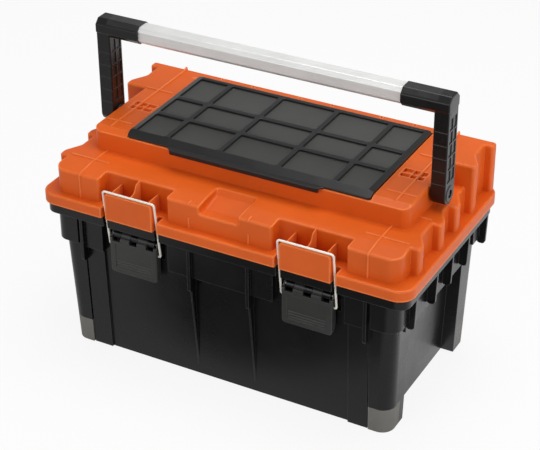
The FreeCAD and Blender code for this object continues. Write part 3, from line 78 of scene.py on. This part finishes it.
# ---- studio ----
FLOOR_HALF = 40.0
SKY = 0.34                  # soft grey of the studio above the table
HORIZON_WHITE = (0.14, 0.28)    # sine of the height where the white wall starts to fade, and has faded
DARK_REFLECTION_END = (-0.02, -0.40)       # where a painted dark reflection starts on the table and runs forwards; only shiny faces see it
DARK_REFLECTION_RIM = (0.19, 0.27)        # its soft rim, from its middle line
TABLE_IN_REFLECTIONS = (0.43, 1.0)             # painted reflection: the table's brightness in shiny faces, at its front and at its back
TABLE_IN_REFLECTIONS_SPAN = (-0.20, 0.12)      # where that changes
WHITE_SHARE = 0.88              # the rest of the table's look is its real shading, with the box's shadow
LAMP_AIM = (0.0, 0.0, 0.2)
SOFTBOXES = (                   # name, place, width, height, watts
    ("overhead softbox", (0.15, 0.25, 1.95), 1.3, 1.1, 20.5),
    ("right softbox", (2.0, -0.5, 1.0), 1.1, 1.3, 11.0),
    ("front fill", (-0.7, -2.4, 1.5), 1.5, 1.3, 12.0),
)


def linear(colour):
    """A swatch's value as the shader wants it, with full alpha."""
    parts = [c / 12.92 if c <= 0.04045 else ((c + 0.055) / 1.055) ** 2.4 for c in colour]
    return (*parts, 1.0)


# ---- node helpers ----
def fill(tree, socket, value):
    if isinstance(value, bpy.types.NodeSocket):
        tree.links.new(value, socket)
    else:
        socket.default_value = value


def place(tree, kind, inputs=None, **settings):
    """Adds a node, sets its plain properties, then fills or links its inputs."""
    node = tree.nodes.new(kind)
    for name, value in settings.items():
        setattr(node, name, value)
    for name, value in (inputs or {}).items():
        fill(tree, node.inputs[name], value)
    return node


def maths(tree, operation, a, b=0.0, clamp=False):
    return place(tree, "ShaderNodeMath", {0: a, 1: b}, operation=operation, use_clamp=clamp).outputs[0]


def times(tree, *values):
    """Product of several masks."""
    result = values[0]
    for value in values[1:]:
        result = maths(tree, "MULTIPLY", result, value)
    return result


def spread(tree, value, low, high, out_low=0.0, out_high=1.0):
    """Smooth step of a value from one range to another."""
    node = place(tree, "ShaderNodeMapRange", {"Value": value, "From Min": low, "From Max": high,
                                              "To Min": out_low, "To Max": out_high},
                 interpolation_type="SMOOTHSTEP")
    return node.outputs["Result"]


def mixed(tree, factor, a, b):
    node = place(tree, "ShaderNodeMix", data_type="RGBA")
    for index, value in ((0, factor), (6, a), (7, b)):
        fill(tree, node.inputs[index], value)
    return node.outputs[2]


def noise(tree, spot, scale, detail=3.0, roughness=0.55):
    return place(tree, "ShaderNodeTexNoise", {"Vector": spot, "Scale": scale, "Detail": detail,
                                              "Roughness": roughness}).outputs["Fac"]


def object_spot(tree):
    return tree.nodes.new("ShaderNodeTexCoord").outputs["Object"]


def new_group(name, inputs, outputs):
    """An empty node group with named number inputs and the outputs asked for."""
    group = bpy.data.node_groups.new(name, "ShaderNodeTree")
    for label, value in inputs.items():
        socket = group.interface.new_socket(label, in_out="INPUT", socket_type="NodeSocketFloat")
        socket.default_value = value
    for label, kind in outputs.items():
        group.interface.new_socket(label, in_out="OUTPUT", socket_type=kind)
    return group, group.nodes.new("NodeGroupInput").outputs, group.nodes.new("NodeGroupOutput").inputs


def grouped(tree, group, **inputs):
    node = tree.nodes.new("ShaderNodeGroup")
    node.node_tree = group
    for label, value in inputs.items():
        node.inputs[label.replace("_", " ")].default_value = value
    return node.outputs


# ---- effects that several finishes share ----
def make_moulded_skin():
    """Fine spark-eroded grain of a plastic moulding, over softly rounded edges, with faint sink marks."""
    group, given, result = new_group(
        "moulded skin", {"Grain Size": 0.0006, "Grain Depth": 0.00002, "Edge Radius": 0.0012},
        {"Normal": "NodeSocketVector", "Grain": "NodeSocketFloat", "Patch": "NodeSocketFloat"})
    spot = object_spot(group)
    grain = noise(group, spot, maths(group, "DIVIDE", 1.0, given["Grain Size"]), 2.0, 0.6)
    patch = noise(group, spot, PATCH_SCALE, 4.0)
    waviness = noise(group, spot, SINK_SCALE, 1.0)
    corner = place(group, "ShaderNodeBevel", {"Radius": given["Edge Radius"]},
                   samples=EDGE_SAMPLES).outputs[0]
    sunk = place(group, "ShaderNodeBump", {"Height": waviness, "Distance": SINK_DEPTH,
                                           "Normal": corner}).outputs[0]
    bump = place(group, "ShaderNodeBump", {"Height": grain, "Distance": given["Grain Depth"],
                                           "Normal": sunk}).outputs[0]
    group.links.new(bump, result["Normal"])
    group.links.new(grain, result["Grain"])
    group.links.new(patch, result["Patch"])
    return group


def make_edge_wear_and_highlight():
    """Paler outer edges, painted as wear and as the highlight that rounded edges catch: 1 on an edge, 0 on
    open faces.
    """
    group, given, result = new_group(
        "edge wear and painted highlight", {"Width": 0.0018, "Onset": 0.93, "Full": 0.5, "Break Up": 0.5},
        {"Edge": "NodeSocketFloat"})
    inside = place(group, "ShaderNodeAmbientOcclusion", {"Distance": given["Width"]},
                   samples=EDGE_SAMPLES, inside=True, only_local=True).outputs["AO"]
    edge = spread(group, inside, given["Onset"], given["Full"])
    breaks = noise(group, object_spot(group), BREAK_SCALE)
    edge_gaps = times(group, spread(group, breaks, *MID_TONES, 1.0, 0.0), given["Break Up"])
    left = maths(group, "SUBTRACT", 1.0, edge_gaps, clamp=True)
    group.links.new(times(group, edge, left), result["Edge"])
    return group


def make_handling_marks():
    """Faint wipes and hairline scuffs of a box that has been picked up: a change in gloss only."""
    group, given, result = new_group(
        "handling marks", {"Wipes": 0.05, "Hairlines": 0.06}, {"Gloss Change": "NodeSocketFloat"})
    spot = object_spot(group)
    wipes = spread(group, noise(group, spot, WIPE_SCALE, 5.0, 0.65), 0.42, 0.68)
    hairs = []
    for turn, scale in HAIRLINES:
        laid = place(group, "ShaderNodeMapping", {"Vector": spot, "Scale": scale,
                                                  "Rotation": (turn, 0.4 * turn, turn)}).outputs[0]
        hairs.append(spread(group, noise(group, laid, 1.0, 1.0, 0.4), 0.70, 0.76))
    lines = maths(group, "MAXIMUM", *hairs)
    change = maths(group, "ADD", times(group, wipes, given["Wipes"]), times(group, lines, given["Hairlines"]))
    group.links.new(change, result["Gloss Change"])
    return group


def make_drawn_streaks():
    """Fine lines that drawing or turning leaves along a metal piece's X axis."""
    group, given, result = new_group(
        "drawn streaks", {"Fineness": 2600.0, "Depth": 0.000003, "Edge Radius": 0.0005},
        {"Normal": "NodeSocketVector", "Streak": "NodeSocketFloat"})
    across = place(group, "ShaderNodeCombineXYZ", {0: STREAK_SCALE, 1: given["Fineness"],
                                                        2: given["Fineness"]})
    laid = place(group, "ShaderNodeVectorMath", {0: object_spot(group), 1: across.outputs[0]},
                 operation="MULTIPLY").outputs[0]
    streak = noise(group, laid, 1.0, 2.0)
    corner = place(group, "ShaderNodeBevel", {"Radius": given["Edge Radius"]},
                   samples=METAL_SAMPLES).outputs[0]
    bump = place(group, "ShaderNodeBump", {"Height": streak, "Distance": given["Depth"],
                                           "Normal": corner}).outputs[0]
    group.links.new(bump, result["Normal"])
    group.links.new(streak, result["Streak"])
    return group


# ---- finishes ----
def finish_of(name):
    """A new material, its node tree and its Principled shader."""
    material = bpy.data.materials.new(name)
    material.use_nodes = True
    tree = material.node_tree
    return material, tree, tree.nodes["Principled BSDF"]


def toned(tree, colour, pattern, low=0.94, high=1.06):
    """A colour whose brightness drifts a little with a pattern."""
    shade = spread(tree, pattern, *MID_TONES, low, high)
    return place(tree, "ShaderNodeHueSaturation", {"Color": colour, "Value": shade}).outputs[0]


def plastic(name, groups, base, edge, rough=0.40, grain=0.0006, depth=0.00002, wear_and_highlight=0.5, wear_and_highlight_reach=None,
            specular=0.5):
    """Moulded plastic: grain, slight patchiness, handling marks, and paler edges that paint wear and
    highlight together.
    """
    material, tree, shader = finish_of(name)
    skin = grouped(tree, groups["skin"], Grain_Size=grain, Grain_Depth=depth)
    edge_wear_and_highlight = grouped(tree, groups["wear_and_highlight"], **(wear_and_highlight_reach or {}))
    marks = grouped(tree, groups["marks"])
    body = toned(tree, linear(base), skin["Patch"])
    # Edges turn paler: edge wear together with a painted highlight.
    tree.links.new(mixed(tree, times(tree, edge_wear_and_highlight["Edge"], wear_and_highlight), body, linear(edge)),
                   shader.inputs["Base Color"])
    drift = spread(tree, skin["Patch"], 0.25, 0.75, rough - 0.04, rough + 0.05)
    tree.links.new(maths(tree, "ADD", drift, marks["Gloss Change"]), shader.inputs["Roughness"])
    tree.links.new(skin["Normal"], shader.inputs["Normal"])
    shader.inputs["Specular IOR Level"].default_value = specular
    return material


def cover_finish(groups):
    """The compartment cover: smooth black frame and webs round sunk panels with a paler, coarser grain."""
    low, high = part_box("compartment_cover")
    material, tree, shader = finish_of("cover plastic")
    smooth = grouped(tree, groups["skin"], Grain_Depth=0.00001)
    coarse = grouped(tree, groups["skin"], Grain_Size=0.0011, Grain_Depth=0.00006)
    edge_wear_and_highlight = grouped(tree, groups["wear_and_highlight"])
    marks = grouped(tree, groups["marks"])
    x, y, z = place(tree, "ShaderNodeSeparateXYZ", {0: object_spot(tree)}).outputs
    floor = high.z - PANEL_SINK
    panel = times(tree, spread(tree, z, floor + 2 * PANEL_BAND, floor + PANEL_BAND),
                  spread(tree, z, floor - 2 * PANEL_BAND, floor - PANEL_BAND),
                  spread(tree, maths(tree, "ABSOLUTE", x), FIELD_HALF + PANEL_BAND, FIELD_HALF),
                  spread(tree, y, low.y + FIELD_FRONT, low.y + FIELD_FRONT + PANEL_BAND),
                  spread(tree, y, high.y - FIELD_REAR, high.y - FIELD_REAR - PANEL_BAND))
    body = mixed(tree, panel, linear(COVER_BLACK), linear(COVER_PANEL))
    # Paler frame edges: wear and a painted highlight.
    edge = times(tree, edge_wear_and_highlight["Edge"], 0.35, maths(tree, "SUBTRACT", 1.0, panel))
    tree.links.new(mixed(tree, edge, toned(tree, body, smooth["Patch"]), linear(BLACK_WORN_LIT_EDGE)),
                   shader.inputs["Base Color"])
    rough = spread(tree, panel, 0.0, 1.0, *COVER_ROUGH)
    tree.links.new(maths(tree, "ADD", rough, marks["Gloss Change"]), shader.inputs["Roughness"])
    chosen = place(tree, "ShaderNodeMix", data_type="VECTOR")
    for index, value in ((0, panel), (4, smooth["Normal"]), (5, coarse["Normal"])):
        fill(tree, chosen.inputs[index], value)
    tree.links.new(chosen.outputs[1], shader.inputs["Normal"])
    return material


def metal(name, groups, colour, rough, metallic=1.0):
    """Drawn or turned metal with fine streaks and a little tarnish."""
    material, tree, shader = finish_of(name)
    drawn = grouped(tree, groups["streaks"])
    marks = grouped(tree, groups["marks"], Wipes=0.04, Hairlines=0.05)
    tarnish = noise(tree, object_spot(tree), TARNISH_SCALE, 4.0)
    body = toned(tree, toned(tree, linear(colour), drawn["Streak"], 0.96, 1.03), tarnish, 0.96, 1.02)
    tree.links.new(body, shader.inputs["Base Color"])
    drift = spread(tree, drawn["Streak"], 0.2, 0.8, rough - 0.03, rough + 0.05)
    tree.links.new(maths(tree, "ADD", drift, marks["Gloss Change"]), shader.inputs["Roughness"])
    tree.links.new(drawn["Normal"], shader.inputs["Normal"])
    shader.inputs["Metallic"].default_value = metallic
    return material


def make_finishes():
    """One material for each of the record's slots."""
    groups = {"skin": make_moulded_skin(), "wear_and_highlight": make_edge_wear_and_highlight(), "marks": make_handling_marks(),
              "streaks": make_drawn_streaks()}
    return {
        "orange_plastic": plastic("orange plastic", groups, ORANGE, ORANGE_WORN_LIT_EDGE, rough=0.42, specular=0.3,
                                  wear_and_highlight=0.70, wear_and_highlight_reach=ROUND_WEAR_AND_HIGHLIGHT),
        "black_plastic": plastic("black plastic", groups, BLACK, BLACK_WORN_LIT_EDGE, rough=0.27, wear_and_highlight=0.45),
        "cover_plastic": cover_finish(groups),
        "divider_plastic": plastic("divider plastic", groups, TRAY_BLACK, BLACK_WORN_LIT_EDGE, rough=0.48),
        "guard_plastic": plastic("guard plastic", groups, GUARD_GREY, GUARD_WORN_LIT_EDGE, rough=0.55,
                                 grain=0.0009, depth=0.00004),
        "lever_plastic": plastic("lever plastic", groups, LEVER_GREY, LEVER_WORN_LIT_EDGE, rough=0.40),
        "washer_plastic": plastic("washer plastic", groups, BLACK, BLACK_WORN_LIT_EDGE, rough=0.42),
        "tray_plastic": plastic("tray plastic", groups, TRAY_BLACK, BLACK_WORN_LIT_EDGE, rough=0.40),
        "aluminium_tube": metal("aluminium tube", groups, ALUMINIUM, 0.46, metallic=0.55),
        "steel_wire": metal("steel wire", groups, ZINC, 0.32, metallic=0.25),
        "steel_pin": metal("steel pin", groups, PLAIN_STEEL, 0.34),
    }


def dress_frame(finishes):
    slots = {part["node"]: part["material_slot"] for part in frame["record"]["subparts"]}
    for node, thing in frame["nodes"].items():
        for holder in thing.material_slots:
            holder.material = finishes[slots[node]]


# ---- studio ----
def make_softbox(name, spot, width, height, watts):
    light = bpy.data.lights.new(name, "AREA")
    light.shape = "RECTANGLE"
    light.size, light.size_y = width, height
    light.energy = watts
    lamp = bpy.data.objects.new(name, light)
    lamp.location = spot
    lamp.rotation_euler = (Vector(LAMP_AIM) - Vector(spot)).to_track_quat("-Z", "Y").to_euler()
    bpy.context.scene.collection.objects.link(lamp)


def make_room():
    """A white wall low round the table, which fades upwards into a soft grey studio."""
    world = bpy.data.worlds.new("studio")
    bpy.context.scene.world = world
    world.use_nodes = True
    tree = world.node_tree
    backdrop = tree.nodes["Background"]
    heading = tree.nodes.new("ShaderNodeTexCoord").outputs["Generated"]
    height = place(tree, "ShaderNodeSeparateXYZ", {0: heading}).outputs[2]
    low, high = HORIZON_WHITE
    tree.links.new(spread(tree, height, low, high, 1.0, SKY), backdrop.inputs["Strength"])
    backdrop.inputs["Color"].default_value = (1.0, 1.0, 1.0, 1.0)


def floor_finish():
    """White table: white to the eye and in clear surfaces, and it keeps the box's shadow; shiny surfaces see
    a painted reflection of it, darker in front of the box.
    """
    material, tree, shader = finish_of("white table top")
    shader.inputs["Base Color"].default_value = (0.9, 0.9, 0.9, 1.0)
    shader.inputs["Roughness"].default_value = 0.8
    path = tree.nodes.new("ShaderNodeLightPath").outputs
    seen = maths(tree, "MAXIMUM", maths(tree, "MAXIMUM", path["Is Camera Ray"], path["Is Glossy Ray"]),
                 path["Is Transmission Ray"])
    spot = tree.nodes.new("ShaderNodeNewGeometry").outputs["Position"]
    x, y, _ = place(tree, "ShaderNodeSeparateXYZ", {0: spot}).outputs
    along = place(tree, "ShaderNodeCombineXYZ", {0: x, 1: maths(tree, "MAXIMUM", y, DARK_REFLECTION_END[1])})
    reach = place(tree, "ShaderNodeVectorMath", {0: along.outputs[0], 1: (*DARK_REFLECTION_END, 0.0)},
                  operation="DISTANCE")
    # Painted dark reflection: only in shiny faces, the table darkens in a strip in front of the box and
    # towards the front.
    painted_dark_reflection = spread(tree, reach.outputs["Value"], *DARK_REFLECTION_RIM)
    table_in_reflections = times(tree, painted_dark_reflection, spread(tree, y, *TABLE_IN_REFLECTIONS_SPAN, *TABLE_IN_REFLECTIONS))
    reflection_darkening = times(tree, path["Is Glossy Ray"], maths(tree, "SUBTRACT", 1.0, table_in_reflections))
    white = place(tree, "ShaderNodeEmission", {"Color": (1.0, 1.0, 1.0, 1.0),
                                               "Strength": maths(tree, "SUBTRACT", 1.0, reflection_darkening)})
    blend = place(tree, "ShaderNodeMixShader", {0: times(tree, seen, WHITE_SHARE), 1: shader.outputs[0],
                                                2: white.outputs[0]})
    tree.links.new(blend.outputs[0], tree.nodes["Material Output"].inputs["Surface"])
    return material


def make_floor():
    h = FLOOR_HALF
    mesh = bpy.data.meshes.new("table_top")
    mesh.from_pydata([(-h, -h, 0.0), (h, -h, 0.0), (h, h, 0.0), (-h, h, 0.0)], [], [(0, 1, 2, 3)])
    mesh.materials.append(floor_finish())
    floor = bpy.data.objects.new("table_top", mesh)
    bpy.context.scene.collection.objects.link(floor)


def light_the_box():
    for softbox in SOFTBOXES:
        make_softbox(*softbox)


def make_camera():
    level = math.cos(CAMERA_ELEVATION)
    back = Vector((math.sin(CAMERA_AZIMUTH) * level, -math.cos(CAMERA_AZIMUTH) * level,
                   math.sin(CAMERA_ELEVATION)))
    lens = bpy.data.cameras.new("camera")
    lens.lens, lens.sensor_width = CAMERA_LENS, CAMERA_SENSOR
    camera = bpy.data.objects.new("camera", lens)
    camera.location = CAMERA_AIM + back * CAMERA_DISTANCE
    camera.rotation_euler = (-back).to_track_quat("-Z", "Y").to_euler()
    camera.rotation_euler.rotate_axis("Z", CAMERA_ROLL)
    bpy.context.scene.collection.objects.link(camera)
    bpy.context.scene.camera = camera


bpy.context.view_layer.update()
dress_frame(make_finishes())
make_room()
make_floor()
light_the_box()
make_camera()
bpy.context.scene.view_settings.view_transform = "Standard"
